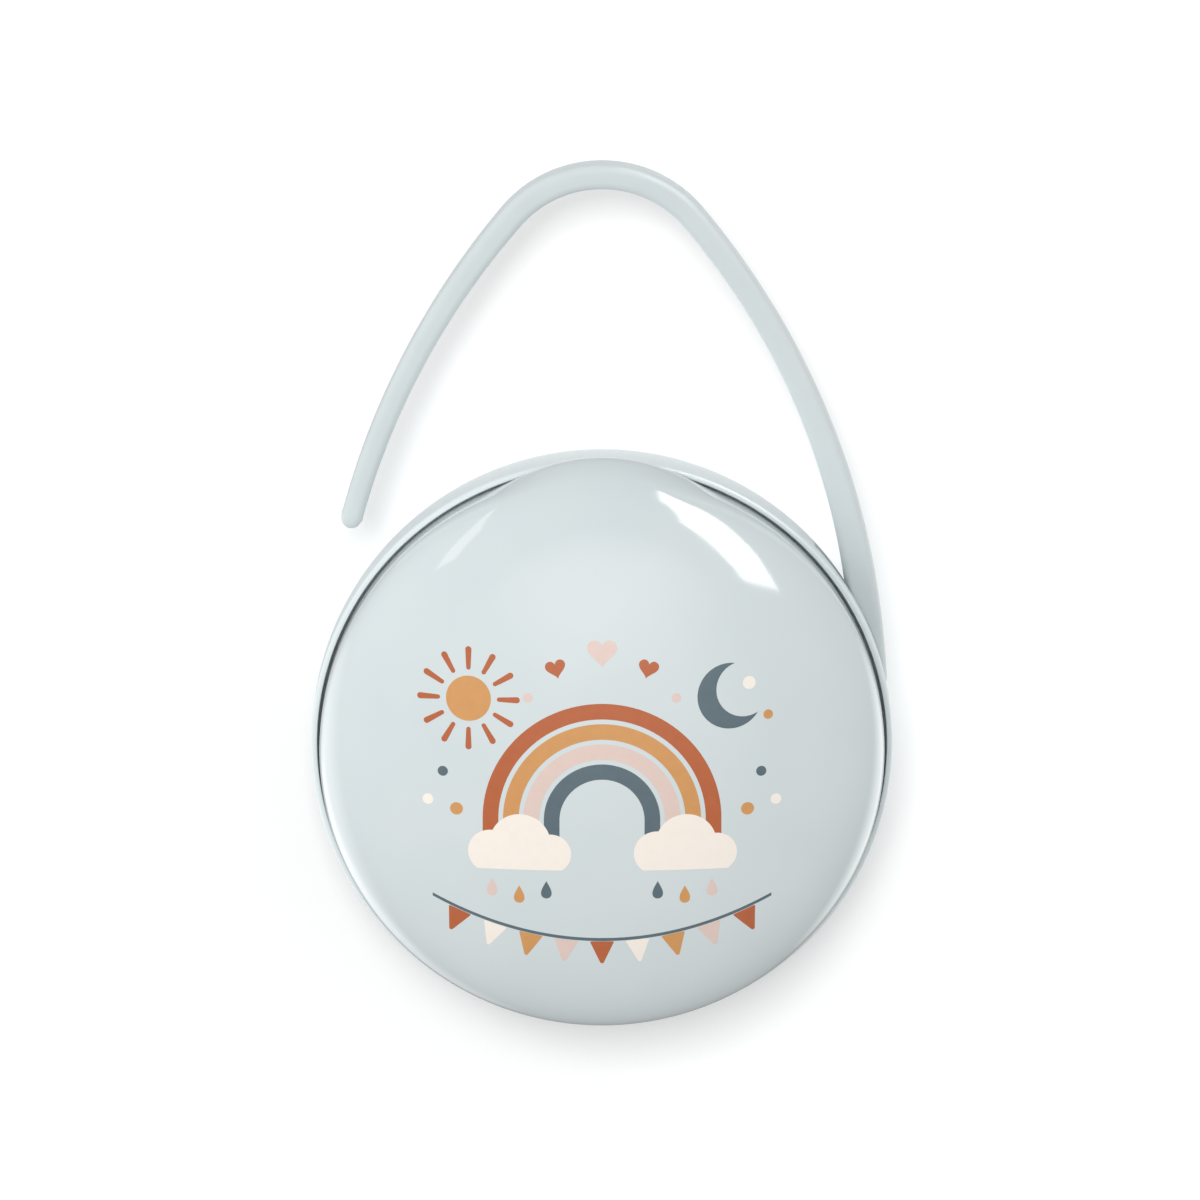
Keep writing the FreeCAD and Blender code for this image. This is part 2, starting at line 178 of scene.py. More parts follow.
def prism(name, outline, low, high):
    # an upright block over a closed outline
    count = len(outline)
    points = [(x, y, low) for x, y in outline] + [(x, y, high) for x, y in outline]
    sides = [(i, (i + 1) % count, count + (i + 1) % count, count + i) for i in range(count)]
    caps = [tuple(reversed(range(count))), tuple(range(count, 2 * count))]
    return closeUp(newPiece(name, points, sides + caps))


def bar(name, start, end, radius, steps=48):
    # a round bar along X between two places, at the hinge's axis
    turns = np.linspace(0, 2 * math.pi, steps, endpoint=False)
    outline = [(radius * math.cos(t), radius * math.sin(t)) for t in turns]
    made = prism(name, outline, start, end)
    lay = Matrix.Rotation(math.radians(90), 4, "Y")
    made.data.transform(Matrix.Translation(Vector((0, hingeAt[1], hingeAt[2])) * mm) @ lay)
    return made


def arcPoints(centre, radius, start, end, steps):
    # degrees, both ends included
    turns = np.radians(np.linspace(start, end, steps + 1))
    return [(centre[0] + radius * math.cos(t), centre[1] + radius * math.sin(t)) for t in turns]


def sweptBead(name, ringSize, radius, sweep, z):
    # part of a torus about the case's axis, centred over +Y, with flat ends
    turns = np.radians(np.linspace(90 - sweep / 2, 90 + sweep / 2, 37))
    around = np.linspace(0, 2 * math.pi, 20, endpoint=False)
    points = []
    for turn in turns:
        for angle in around:
            reach = ringSize + radius * math.cos(angle)
            points.append((reach * math.cos(turn), reach * math.sin(turn), z + radius * math.sin(angle)))
    last = (len(turns) - 1) * len(around)
    caps = [tuple(range(len(around))), tuple(range(last, last + len(around)))]
    return closeUp(newPiece(name, points, gridFaces(len(turns), len(around)) + caps))


def rounded(corners, steps=5):
    # a closed outline of corners (x, y, round), each round drawn as an arc
    outline = []
    count = len(corners)
    for place, (x, y, size) in enumerate(corners):
        here = np.array((x, y))
        if size == 0:
            outline.append(tuple(here))
            continue
        before = np.array(corners[place - 1][:2]) - here
        after = np.array(corners[(place + 1) % count][:2]) - here
        before = before / np.linalg.norm(before)
        after = after / np.linalg.norm(after)
        half = math.acos(np.clip(before @ after, -1, 1)) / 2
        start = before * size / math.tan(half)
        end = after * size / math.tan(half)
        centre = (before + after) / np.linalg.norm(before + after) * size / math.sin(half)
        for share in np.linspace(0, 1, steps + 1):
            spoke = (start - centre) * (1 - share) + (end - centre) * share
            outline.append(tuple(here + centre + spoke / np.linalg.norm(spoke) * size))
    return outline


# node work

noiseMiddle = (0.3, 0.7)  # where most of a noise lies


def addNode(tree, kind, settings=None, values=None, links=None):
    node = tree.nodes.new(kind)
    for name, value in (settings or {}).items():
        setattr(node, name, value)
    for name, value in (values or {}).items():
        node.inputs[name].default_value = value
    for name, source in (links or {}).items():
        tree.links.new(source, node.inputs[name])
    return node


def linear(hexColour):
    channels = [int(hexColour[i:i + 2], 16) / 255 for i in (1, 3, 5)]
    return tuple(c / 12.92 if c <= 0.04045 else ((c + 0.055) / 1.055) ** 2.4 for c in channels) + (1.0,)


def perMetre(sizeMm):
    # a texture's scale that makes its features this many millimetres wide
    return 1 / (sizeMm * mm)


def newMaterial(name, **constants):
    # a shader with its constants set on its own sockets, and the object's coordinates beside it
    material = bpy.data.materials.new(name)
    material.use_nodes = True
    tree = material.node_tree
    shader = tree.nodes["Principled BSDF"]
    for socket, value in constants.items():
        shader.inputs[socket.replace("_", " ")].default_value = value
    place = addNode(tree, "ShaderNodeTexCoord")
    return material, tree, shader, place.outputs["Object"]


def cloudedSkin(name, look):
    # two close colours that cloud into each other, over a grain that sets the gloss and the relief
    material, tree, shader, place = newMaterial(name, IOR=look["ior"])
    cloudSize = {"Scale": perMetre(look["cloudMm"]), "Detail": look["cloudDetail"]}
    cloud = addNode(tree, "ShaderNodeTexNoise", values=cloudSize, links={"Vector": place})
    grainSize = {"Scale": perMetre(look["grainMm"]), "Detail": look["grainDetail"]}
    grain = addNode(tree, "ShaderNodeTexNoise", values=grainSize, links={"Vector": place})
    colour = addNode(tree, "ShaderNodeMix", {"data_type": "RGBA"},
                     {6: linear(look["dark"]), 7: linear(look["light"])}, {0: cloud.outputs["Fac"]})
    tree.links.new(colour.outputs[2], shader.inputs["Base Color"])
    gloss = addNode(tree, "ShaderNodeMapRange", {}, dict(zip(range(1, 5), noiseMiddle + look["roughness"])),
                    {0: grain.outputs["Fac"]})
    tree.links.new(gloss.outputs[0], shader.inputs["Roughness"])
    if "reliefMm" in look:
        relief = addNode(tree, "ShaderNodeBump", {},
                         {"Strength": look["relief"], "Distance": look["reliefMm"] * mm},
                         {"Height": grain.outputs["Fac"]})
        tree.links.new(relief.outputs["Normal"], shader.inputs["Normal"])
    return material


def polishedPolypropylene():
    # injection moulded against polished steel: clear reflections that waver a little, as the melt shrinks
    return cloudedSkin("polishedPolypropylene", {
        "light": "#D1D9DA", "dark": "#CAD3D5", "cloudMm": 14, "cloudDetail": 2.0, "ior": 1.49,
        "grainMm": 5, "grainDetail": 1.0, "roughness": (0.07, 0.11), "relief": 1.0, "reliefMm": 0.012})


def satinPolypropylene():
    # the same plastic from a blasted mould: a wide soft sheen; its grain is drawn coarser than it is, to show
    return cloudedSkin("satinPolypropylene", {
        "light": "#DFE7E8", "dark": "#D8E1E3", "cloudMm": 18, "cloudDetail": 2.0, "ior": 1.49,
        "grainMm": 0.45, "grainDetail": 2.0, "roughness": (0.28, 0.40), "relief": 0.6, "reliefMm": 0.008})


def softElastomer():
    # moulded thermoplastic elastomer: a dry skin that scatters light; its spark-eroded grain is drawn coarser
    # than it is, to show
    return cloudedSkin("softElastomer", {
        "light": "#CFD7D8", "dark": "#C6CFD1", "cloudMm": 9, "cloudDetail": 3.0, "ior": 1.47,
        "grainMm": 0.35, "grainDetail": 2.0, "roughness": (0.42, 0.56), "relief": 0.7, "reliefMm": 0.012})


def padPrintInk(name, light, dark):
    # pad-printed ink under a thin clear coat: flat colour with the pad's mottle, drawn coarse enough to show
    return cloudedSkin(name, {
        "light": light, "dark": dark, "cloudMm": 1.6, "cloudDetail": 4.0, "ior": 1.5,
        "grainMm": 0.5, "grainDetail": 2.0, "roughness": (0.14, 0.22)})


def brushedSteel():
    # drawn stainless wire: bright, with lines along its length that are drawn coarser than they are, to show
    look = {"light": "#C9CCCE", "dark": "#A9ACAF", "lineMm": 0.08, "runMm": 3.0, "roughness": (0.22, 0.38)}
    material, tree, shader, place = newMaterial("brushedSteel", Metallic=1.0)
    stretch = addNode(tree, "ShaderNodeMapping", values={"Scale": (look["lineMm"] / look["runMm"], 1, 1)},
                      links={"Vector": place})
    lines = addNode(tree, "ShaderNodeTexNoise", values={"Scale": perMetre(look["lineMm"])},
                    links={"Vector": stretch.outputs["Vector"]})
    colour = addNode(tree, "ShaderNodeMix", {"data_type": "RGBA"},
                     {6: linear(look["dark"]), 7: linear(look["light"])}, {0: lines.outputs["Fac"]})
    tree.links.new(colour.outputs[2], shader.inputs["Base Color"])
    gloss = addNode(tree, "ShaderNodeMapRange", {}, dict(zip(range(1, 5), noiseMiddle + look["roughness"])),
                    {0: lines.outputs["Fac"]})
    tree.links.new(gloss.outputs[0], shader.inputs["Roughness"])
    return material


lidPlastic = polishedPolypropylene()
bandPlastic = satinPolypropylene()
strapPlastic = softElastomer()
steel = brushedSteel()
print("materials made")


# turning a profile about the case's axis

def makeSpinTree():
    tree = bpy.data.node_groups.new("spinProfile", "GeometryNodeTree")
    sockets = {}
    inputs = {"Profile": "Geometry", "Steps": "Int", "Hub Radius": "Float", "Plastic": "Material"}
    for name, kind in inputs.items():
        socket = tree.interface.new_socket(name, in_out="INPUT", socket_type="NodeSocket" + kind)
        sockets[name] = socket.identifier
    tree.interface.new_socket("Mesh", in_out="OUTPUT", socket_type="NodeSocketGeometry")
    given = addNode(tree, "NodeGroupInput").outputs
    line = addNode(tree, "GeometryNodeMeshToCurve", links={"Mesh": given["Profile"]})
    hub = addNode(tree, "GeometryNodeCurvePrimitiveCircle",
                  links={"Resolution": given["Steps"], "Radius": given["Hub Radius"]})
    turned = addNode(tree, "GeometryNodeCurveToMesh",
                     links={"Curve": hub.outputs["Curve"], "Profile Curve": line.outputs["Curve"]})
    closed = addNode(tree, "GeometryNodeMergeByDistance", values={"Distance": merge},
                     links={"Geometry": turned.outputs["Mesh"]})
    real = addNode(tree, "GeometryNodeRealizeInstances", links={"Geometry": closed.outputs["Geometry"]})
    dressed = addNode(tree, "GeometryNodeSetMaterial",
                      links={"Geometry": real.outputs["Geometry"], "Material": given["Plastic"]})
    addNode(tree, "NodeGroupOutput", links={"Mesh": dressed.outputs["Geometry"]})
    return tree, sockets


spinTree, spinSockets = makeSpinTree()


def spin(name, profile, plastic, closedLoop, steps=360, hub=20.0):
    # profile points are (radius, z); the tree's circle has the hub's radius and its Y runs down
    count = len(profile)
    points = [(radius - hub, -z, 0) for radius, z in profile]
    edges = [(i, i + 1) for i in range(count - 1)] + ([(count - 1, 0)] if closedLoop else [])
    piece = newPiece(name, points, [], edges)
    turning = piece.modifiers.new("spin", "NODES")
    turning.node_group = spinTree
    for socket, value in (("Steps", steps), ("Hub Radius", hub * mm), ("Plastic", plastic)):
        turning[spinSockets[socket]] = value
    return closeUp(settle(piece))


# lid: a domed shell whose front edge swells into the thumb lip

lid = {
    "bottomGap": 0.15,      # above its seat
    "edgeRound": 0.3,
    "inkRoom": 0.03,        # the dome stays this much lower than the frame, for the print
    "lipRadius": 25.0,
    "lipHeight": 15.5,
    "lipGap": 0.3,          # above the rim
    "lipRound": 0.35,
    "lipBlend": 1.4,
    "around": 360,
    "rows": 66,
    "grooveRadius": 0.45,
    "grooveSweep": 18.0,
    "catchHeight": 2.6,     # above the seat
    "knuckleRadius": 1.3,
    "knuckleHalf": 3.4,
    "slotHalf": 8.2,
    "clearRadius": 1.55,
    "boreRadius": 0.7,
    "sharpAngle": 40,
}
domeHeight = lidTop - domeZ - lid["inkRoom"]
lipZ = rimZ + lid["lipGap"]
lipY = lidHigh[1] - lid["lipRadius"]


def domeLevel(x, y):
    inside = 1 - (x * x + y * y) / lidRadius ** 2
    return domeZ + domeHeight * np.sqrt(np.maximum(inside, 0))


def exitOf(squares, cross, rest):
    # where a ray from inside leaves a quadric
    return (-cross + np.sqrt(cross * cross - 4 * squares * rest)) / (2 * squares)


def lidReach(turn, rise):
    # distance from the axis at the lip's level to the outer skin: dome and lip, blended
    flat = np.cos(rise)
    up = np.sin(rise)
    straight = domeZ - lipZ
    wall = lidRadius / np.maximum(flat, 1e-6)
    dome = exitOf(flat ** 2 / lidRadius ** 2 + up ** 2 / domeHeight ** 2,
                  -2 * up * straight / domeHeight ** 2, straight ** 2 / domeHeight ** 2 - 1)
    shell = np.where(wall * up <= straight, wall, dome)
    forward = flat * math.sin(turn)
    lip = exitOf(flat ** 2 / lid["lipRadius"] ** 2 + up ** 2 / lid["lipHeight"] ** 2,
                 -2 * forward * lipY / lid["lipRadius"] ** 2, lipY ** 2 / lid["lipRadius"] ** 2 - 1)
    share = np.clip(0.5 + (shell - lip) / (2 * lid["lipBlend"]), 0, 1)
    return lip + (shell - lip) * share + lid["lipBlend"] * share * (1 - share)


def lidMeridian(turn):
    # radius and level from the outer pole, round the edge and back to the inner pole
    edge = lidReach(turn, np.array([0.0]))[0]
    size = min(lid["lipRound"], (edge - lidRadius) / 2)
    start = math.atan2(size, edge)
    rises = np.linspace(math.pi / 2, start, lid["rows"])
    reach = lidReach(turn, rises)
    line = list(zip(reach * np.cos(rises), lipZ + reach * np.sin(rises)))
    lipEnd = line[-1][0]
    line += arcPoints((lipEnd - size, lipZ + size), size, 0, -90, 4)[1:]
    line.append((lidRadius, lipZ))
    small = lid["edgeRound"]
    low = seatZ + lid["bottomGap"] + small
    line += arcPoints((lidRadius - small, low), small, 0, -90, 4)
    line += arcPoints((lidInner + small, low), small, -90, -180, 4)
    line += [(lidInner, lipZ)]
    innerHeight = lidTop - domeZ - (lidRadius - lidInner)
    for angle in np.radians(np.linspace(0, 90, 40)):
        line.append((lidInner * math.cos(angle), domeZ + innerHeight * math.sin(angle)))
    return line


def makeLid():
    turns = np.linspace(0, 2 * math.pi, lid["around"], endpoint=False)
    lines = [lidMeridian(turn) for turn in turns]
    rows = len(lines[0])
    points = []
    for row in range(rows):
        for turn, line in zip(turns, lines):
            radius, z = line[row]
            points.append((radius * math.cos(turn), radius * math.sin(turn), z))
    shell = closeUp(newPiece("lidShell", points, gridFaces(rows, len(turns))))
    slot = lid["slotHalf"]
    outside = -(lidRadius + over)
    inside = over - math.sqrt(lidInner ** 2 - slot ** 2)
    slotBox = prism("hingeSlot", [(-slot, outside), (slot, outside), (slot, inside), (-slot, inside)],
                    seatZ - over, hingeAt[2])
    half = lid["knuckleHalf"]
    groove = sweptBead("catchGroove", lidInner, lid["grooveRadius"], lid["grooveSweep"],
                       seatZ + lid["catchHeight"])
    carve(shell, "DIFFERENCE", slotBox, groove, bar("clearRight", half, slot, lid["clearRadius"]),
          bar("clearLeft", -slot, -half, lid["clearRadius"]))
    carve(shell, "UNION", bar("knuckle", -half, half, lid["knuckleRadius"]))
    carve(shell, "DIFFERENCE", bar("pinBore", -slot, slot, lid["boreRadius"]))
    shell.data.materials.clear()
    shell.data.materials.append(lidPlastic)
    shade(shell, lid["sharpAngle"])
    return shell


lidShell = makeLid()
print("lid made: %d faces" % len(lidShell.data.polygons))


# ring: the band round the middle, with the lid's seat, the hinge's feet and the strap's pocket

ring = {
    "rimRound": 0.6,
    "lidGap": 0.45,
    "crownSet": 4.0,
    "crownDrop": 1.3,
    "seamBevel": 0.2,
    "spigotWall": 1.3,
    "spigotRound": 0.4,
    "smallRound": 0.15,
    "shelfThickness": 1.6,
    "beadRadius": 0.4,
    "beadSweep": 16.0,
    "troughShave": 0.55,
    "troughHalf": 16.0,
    "knuckleGap": 0.25,
    "knuckleStart": 3.6,
    "knuckleEnd": 8.0,
    "footSink": 0.3,
    "pocketSideGap": 0.35,
    "pocketFaceGap": 0.2,
    "pocketMouth": 29.1,
    "housingWall": 1.4,
    "housingFloor": 1.6,
    "mouthRun": 1.12,
    "pinBite": 0.9,
    "eyeRadius": 2.7,
    "housingSink": 0.01,     # the pocket's housing ends this far under the seat
    "sharpAngle": 35,
}
seamRadius = ringRadius - ring["crownDrop"]
crownRise = rimZ - ring["crownSet"] - seamZ
crownRadius = (crownRise ** 2 + ring["crownDrop"] ** 2) / (2 * ring["crownDrop"])


def crownArc(steps=24):
    # the band's outer side, upright at its widest
    start = math.degrees(math.asin(crownRise / crownRadius))
    return arcPoints((ringRadius - crownRadius, rimZ - ring["crownSet"]), crownRadius, -start, 0, steps)


def bandProfile():
    small = ring["smallRound"]
    seatRadius = lidRadius + ring["lidGap"]
    spigotInner = spigotRadius - ring["spigotWall"]
    bevel = ring["seamBevel"]
    crown = [(radius, z, 0) for radius, z in crownArc()]
    crown[0] = (seamRadius, seamZ + bevel, 0)
    return rounded([
        (ringInner, seamZ, 0),
        (seamRadius - bevel, seamZ, 0),
        *crown,
        (ringRadius, rimZ, ring["rimRound"]),
        (seatRadius, rimZ, small),
        (seatRadius, seatZ, small),
        (spigotRadius, seatZ, small),
        (spigotRadius, ringHigh[2], ring["spigotRound"]),
        (spigotInner, ringHigh[2], ring["spigotRound"]),
        (spigotInner, seatZ - ring["shelfThickness"], ring["spigotRound"]),
        (ringInner, seatZ - ring["shelfThickness"], ring["spigotRound"]),
    ])


def carveHinge(band):
    troughZ = hingeAt[2] - lid["knuckleRadius"] - ring["knuckleGap"]
    inner = spigotRadius - ring["troughShave"]
    half = math.degrees(math.asin(ring["troughHalf"] / inner))
    outline = arcPoints((0, 0), ringRadius + over, -90 - half, -90 + half, 30)
    outline += arcPoints((0, 0), inner, -90 + half, -90 - half, 30)
    carve(band, "DIFFERENCE", prism("trough", outline, troughZ, ringHigh[2] + over))
    wide = lid["knuckleRadius"] / 2
    start, end = ring["knuckleStart"], ring["knuckleEnd"]
    for side in (-1, 1):
        low, high = sorted((side * start, side * end))
        corners = [(low, hingeAt[1] - wide), (high, hingeAt[1] - wide),
                   (high, hingeAt[1] + wide), (low, hingeAt[1] + wide)]
        carve(band, "UNION", prism("foot", corners, troughZ - ring["footSink"], hingeAt[2]))
        carve(band, "UNION", bar("knuckle", low, high, lid["knuckleRadius"]))
    carve(band, "DIFFERENCE", bar("pinBore", -end - over, end + over, pinRadius))


def carvePocket(band):
    wallMiddle = (ringRadius + ringInner) / 2
    gap, wall = ring["pocketSideGap"], ring["housingWall"]
    eyeX, eyeY = pivotAt[0], pivotAt[1]
    left = eyeX - ring["eyeRadius"] - gap
    low = eyeY - ring["eyeRadius"] - gap
    floorZ = strapLow[2] - ring["pocketFaceGap"]
    topZ = strapHigh[2] + ring["pocketFaceGap"]
    mouthY = ring["pocketMouth"]
    mouthX = math.sqrt(wallMiddle ** 2 - mouthY ** 2)
    firstTurn = math.degrees(math.asin((low - wall) / wallMiddle))
    lastTurn = math.degrees(math.asin(mouthY / wallMiddle))
    housingLow = floorZ - ring["housingFloor"]
    housing = arcPoints((0, 0), wallMiddle, firstTurn, lastTurn, 24)
    housing += [(left - wall, eyeY), (left - wall, low - wall)]
    carve(band, "UNION", prism("housing", housing, housingLow, seatZ - ring["housingSink"]))
    outside = ringRadius + over
    endX = left + (mouthX - left + wall) * ring["mouthRun"]
    endY = eyeY + (mouthY - eyeY) * ring["mouthRun"]
    slot = [(left, low), (outside, low), (outside, endY), (endX, endY), (left, eyeY)]
    carve(band, "DIFFERENCE", prism("slot", slot, floorZ, topZ))
    hole = arcPoints((eyeX, eyeY), strapPinRadius, 0, 360, 40)[:-1]
    carve(band, "DIFFERENCE", prism("strapPinBore", hole, housingLow - over, topZ + ring["pinBite"]))


def makeRing():
    band = spin("ringBand", bandProfile(), bandPlastic, True, hub=ringInner)
    carveHinge(band)
    carve(band, "UNION", sweptBead("catchBead", spigotRadius, ring["beadRadius"], ring["beadSweep"],
                                   seatZ + lid["catchHeight"]))
    carvePocket(band)
    band.data.materials.clear()
    band.data.materials.append(bandPlastic)
    shade(band, ring["sharpAngle"])
    return band


ringBand = makeRing()
print("ring made: %d faces" % len(ringBand.data.polygons))


# back: a bowl that carries on from the band and rounds into its flat

back = {
    "wall": 1.6,
    "tongueGap": 0.05,
    "tongueWall": 1.2,
    "gateRadius": 1.1,
    "gateDepth": 0.25,
    "markRadius": 2.5,
    "markDepth": 0.12,
    "markRing": 17.0,
    "marks": 4,
    "sharpAngle": 35,
}


def bowlProfile():
    crownCentre = crownRadius - ring["crownDrop"]
    slant = seamZ * crownRadius / crownCentre
    bowlRadius = slant * (crownRadius + crownRise) / crownCentre
    flatRadius = seamRadius - seamZ * crownRise / crownCentre - slant
    bevel = ring["seamBevel"]
    tongueRadius = ringInner - back["tongueGap"]
    tongueInner = tongueRadius - back["tongueWall"]
    innerRadius = bowlRadius - back["wall"]

    def turnAt(radius, level):
        return math.degrees(math.asin((bowlRadius - level) / radius))

    outer = arcPoints((flatRadius, bowlRadius), bowlRadius, -90, -turnAt(bowlRadius, seamZ - bevel), 30)
    innerEnd = math.degrees(math.acos((tongueInner - flatRadius) / innerRadius))
    inner = arcPoints((flatRadius, bowlRadius), innerRadius, -innerEnd, -90, 26)
    return [
        (0, 0),
        (flatRadius / 2, 0),
        *outer,
        (seamRadius - bevel, seamZ),
        (tongueRadius, seamZ),
        (tongueRadius, coverHigh[2] - bevel),
        (tongueRadius - bevel, coverHigh[2]),
        (tongueInner + bevel, coverHigh[2]),
        (tongueInner, coverHigh[2] - bevel),
        *inner,
        (flatRadius / 2, back["wall"]),
        (0, back["wall"]),
    ]


def makeBack():
    bowl = spin("backBowl", bowlProfile(), bandPlastic, False)
    # the gate's scar in the middle outside, and the ejector pins' marks inside
    gate = arcPoints((0, 0), back["gateRadius"], 0, 360, 40)[:-1]
    carve(bowl, "DIFFERENCE", prism("gate", gate, -over, back["gateDepth"]))
    for turn in np.linspace(45, 405, back["marks"], endpoint=False):
        at = arcPoints((0, 0), back["markRing"], turn, turn, 1)[0]
        disc = arcPoints(at, back["markRadius"], 0, 360, 48)[:-1]
        carve(bowl, "DIFFERENCE", prism("mark", disc, back["wall"] - back["markDepth"], back["wall"] + over))
    bowl.data.materials.clear()
    bowl.data.materials.append(bandPlastic)
    shade(bowl, back["sharpAngle"])
    return bowl


backBowl = makeBack()
print("back made: %d faces" % len(backBowl.data.polygons))


# strap: an arch of tangent arcs with rounded edges, from its eye to its free tip

strap = {
    "inset": 0.6,            # from the ring's outside
    "spring": 3.0,
    "apexRadius": 19.3,
    "apexThickness": 3.65,
    "tipThickness": 3.0,
    "tip": 33.4,
    "eyeRadius": 2.7,
    "boreGap": 0.06,
    "edgeRound": 1.2,
    "partingDepth": 0.06,    # the mould's joint, a fine line round the middle
    "partingHalf": 0.06,
    "sideSteps": 90,
    "apexSteps": 40,
    "capSteps": 12,
    "edgeSteps": 8,
    "sharpAngle": 40,
}


def sideArc(spread, rise, apexRadius):
    # radius of an arc that starts upright at the spread and touches an apex circle that far above it
    return (spread ** 2 + rise ** 2 - apexRadius ** 2) / (2 * (spread - apexRadius))


def strapArcs():
    # (centre, radius, first and last turn, side): side 1 keeps the strap inside the arc, -1 outside
    spread = ringRadius - strap["inset"]
    apexY = strapHigh[1] - strap["apexRadius"]
    rise = apexY - strap["spring"]
    outer = sideArc(spread, rise, strap["apexRadius"])
    innerApex = strap["apexRadius"] - strap["apexThickness"]
    tipSide = spread - strap["tipThickness"]
    innerLeft = sideArc(tipSide, rise, innerApex)
    eyeX, eyeY = pivotAt[0], pivotAt[1]
    eyeSide = eyeX - strap["eyeRadius"]
    innerRight = sideArc(eyeSide, apexY - eyeY, innerApex)
    tipRadius = strap["tipThickness"] / 2
    tipX = outer - spread + tipRadius - math.sqrt(outer ** 2 - (strap["tip"] - strap["spring"]) ** 2)
    centre = {
        "outerRight": (spread - outer, strap["spring"]),
        "outerLeft": (outer - spread, strap["spring"]),
        "apex": (0, apexY),
        "tip": (tipX, strap["tip"]),
        "innerLeft": (innerLeft - tipSide, strap["spring"]),
        "innerRight": (eyeSide - innerRight, eyeY),
        "eye": (eyeX, eyeY),
    }

    def bearing(start, end):
        return math.degrees(math.atan2(centre[end][1] - centre[start][1], centre[end][0] - centre[start][0]))

    eyeOut = bearing("outerRight", "eye")
    apexRight = bearing("outerRight", "apex")
    apexLeft = bearing("outerLeft", "apex")
    tipOut = bearing("outerLeft", "tip")
    tipIn = bearing("innerLeft", "tip") + 180
    innerApexLeft = bearing("innerLeft", "apex")
    innerApexRight = bearing("innerRight", "apex")
    tipMiddle = (tipOut + tipIn) / 2
    eyeMiddle = (eyeOut - 180) / 2
    side, over, cap = strap["sideSteps"], strap["apexSteps"], strap["capSteps"]
    # over the outside from the middle of the eye to the middle of the tip, then back along the inside
    return [
        (centre["eye"], strap["eyeRadius"], eyeMiddle, eyeOut, 1, cap),
        (centre["outerRight"], outer, eyeOut, apexRight, 1, side),
        (centre["apex"], strap["apexRadius"], apexRight, apexLeft, 1, over),
        (centre["outerLeft"], outer, apexLeft, tipOut, 1, side),
        (centre["tip"], tipRadius, tipOut, tipMiddle, 1, cap),
        (centre["tip"], tipRadius, tipMiddle, tipIn, 1, cap),
        (centre["innerLeft"], innerLeft, tipIn - 180, innerApexLeft, -1, side),
        (centre["apex"], innerApex, innerApexLeft, innerApexRight, -1, over),
        (centre["innerRight"], innerRight, innerApexRight, 0, -1, side),
        (centre["eye"], strap["eyeRadius"], -180, eyeMiddle, 1, cap),
    ]


def makeStrap():
    arcs = strapArcs()

    def outline(inset):
        loop = []
        for centre, radius, first, last, side, steps in arcs:
            loop += arcPoints(centre, radius - side * inset, first, last, steps)[:-1]
        return loop

    size = strap["edgeRound"]
    layers = []
    for angle in np.radians(np.linspace(90, 0, strap["edgeSteps"] + 1)):
        layers.append((size * (1 - math.cos(angle)), strapLow[2] + size * (1 - math.sin(angle))))
    middle = (strapLow[2] + strapHigh[2]) / 2
    layers.append((0, middle - strap["partingHalf"]))
    layers.append((strap["partingDepth"], middle))
    layers += [(inset, 2 * middle - z) for inset, z in reversed(layers[:-1])]
    points = []
    for inset, z in layers:
        loop = outline(inset)
        points += [(x, y, z) for x, y in loop]
    count = len(loop)
    faces = gridFaces(len(layers), count)
    # the two flat sides are ladders of quads between the outside and the inside
    for first in (0, (len(layers) - 1) * count):
        for i in range(count // 2):
            rung = (i, i + 1, (count - i - 1) % count, (count - i) % count)
            faces.append(tuple(dict.fromkeys(first + corner for corner in rung)))
    piece = closeUp(newPiece("strapArch", points, faces))
    bore = arcPoints((pivotAt[0], pivotAt[1]), strapPinRadius + strap["boreGap"], 0, 360, 40)[:-1]
    carve(piece, "DIFFERENCE", prism("eyeBore", bore, strapLow[2] - over, strapHigh[2] + over))
    piece.data.materials.clear()
    piece.data.materials.append(strapPlastic)
    shade(piece, strap["sharpAngle"])
    return piece


strapArch = makeStrap()
print("strap made: %d faces" % len(strapArch.data.polygons))


# pins: drawn wire with a small chamfer at each end

pins = {"bevel": 0.15, "steps": 32, "hub": 2.0, "sharpAngle": 30}


def makePin(name, node, radius, along):
    low, high = nodeBox(node)
    bevel = pins["bevel"]
    start, end = low[along], high[along]
    line = [(0, start), (radius - bevel, start), (radius, start + bevel), (radius, end - bevel),
            (radius - bevel, end), (0, end)]
    pin = spin(name, line, steel, False, steps=pins["steps"], hub=pins["hub"])
    middle = (low + high) / 2
    if along == 0:
        pin.data.transform(Matrix.Rotation(math.radians(90), 4, "Y"))
    middle[along] = 0
    pin.data.transform(Matrix.Translation(Vector(middle) * mm))
    shade(pin, pins["sharpAngle"])
    return pin


hingePin = makePin("hingeWire", "hinge_pin", pinRadius, 0)
strapPin = makePin("strapWire", "strap_pin", strapPinRadius, 2)
print("pins made")


# print: flat motifs laid on the dome, one film for each ink

inks = {
    "Slate": ("#5F6F77", "#55656D"),
    "Rust": ("#B9663E", "#AD5C35"),
    "Ochre": ("#D29A60", "#C88F55"),
    "Blush": ("#DFCAC1", "#D8BFB5"),
    "Cream": ("#F5EDE4", "#EFE5DA"),
}
film = {"lift": 0.015, "overLift": 0.028, "depth": 0.08, "cell": 0.8, "reach": 37.0, "sharpAngle": 40}
rainbow = {"x": 0.0, "y": -6.5, "outer": 16.4, "step": 3.0, "stroke": 2.3, "leg": 4.0}
sun = {"x": -19.6, "y": 11.4, "radius": 3.3, "rays": 12, "rayReach": 5.8}
garland = {"half": 25.0, "low": -25.4, "sag": 6.4, "string": 0.5, "flags": 9, "flagSize": 3.6}


def disc():
    return arcPoints((0, 0), 1, 0, 360, 64)[:-1]


